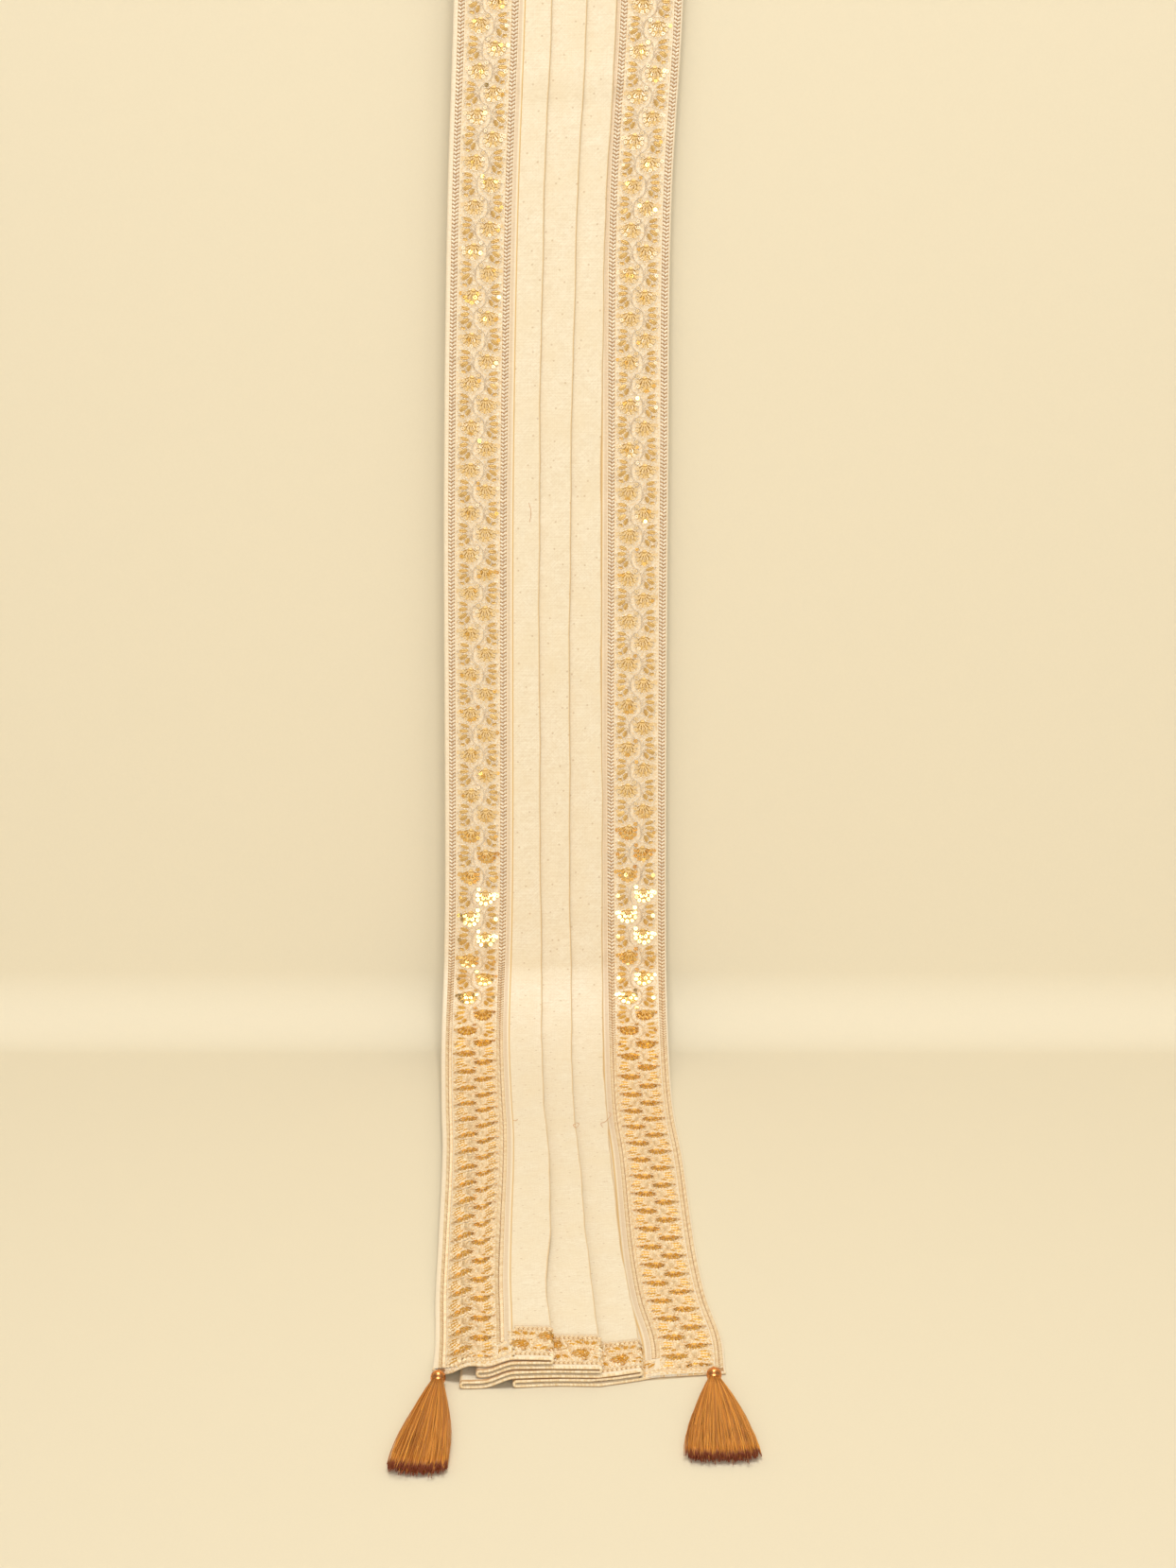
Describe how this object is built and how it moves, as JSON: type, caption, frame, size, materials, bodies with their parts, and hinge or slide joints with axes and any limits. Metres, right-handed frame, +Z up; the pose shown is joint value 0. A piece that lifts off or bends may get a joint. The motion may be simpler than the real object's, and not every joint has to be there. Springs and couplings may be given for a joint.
{
  "type": "dupatta stole",
  "caption": "Long silk stole folded lengthwise into flat knife pleats, hung by its top end and running out on the floor, with embroidered borders and corner tassels.",
  "frame": {"origin": "middle of the top end of the folded stole, where it is held up", "axes": "+Z up along the hanging stretch, +X to the right as seen from the front, -Y towards the viewer, the way the floor stretch runs"},
  "size_m": [0.2537, 0.9426, 1.545],
  "materials": {
    "cream_silk": "soft sheen, fine plain weave",
    "embroidered_ivory": "satin ground under gold and silver thread",
    "tassel_silk": "glossy twisted thread",
    "copper": "polished copper colour"
  },
  "bodies": {
    "root": {"cloth": "cream_silk", "border_left": "embroidered_ivory", "border_right": "embroidered_ivory", "border_hem": "embroidered_ivory", "border_top": "embroidered_ivory", "bead_hem_left": "copper", "bead_hem_right": "copper", "bead_top_left": "copper", "bead_top_right": "copper", "tassel_hem_left": "tassel_silk", "tassel_hem_right": "tassel_silk", "tassel_top_left": "tassel_silk", "tassel_top_right": "tassel_silk"}
  },
  "joints": []
}
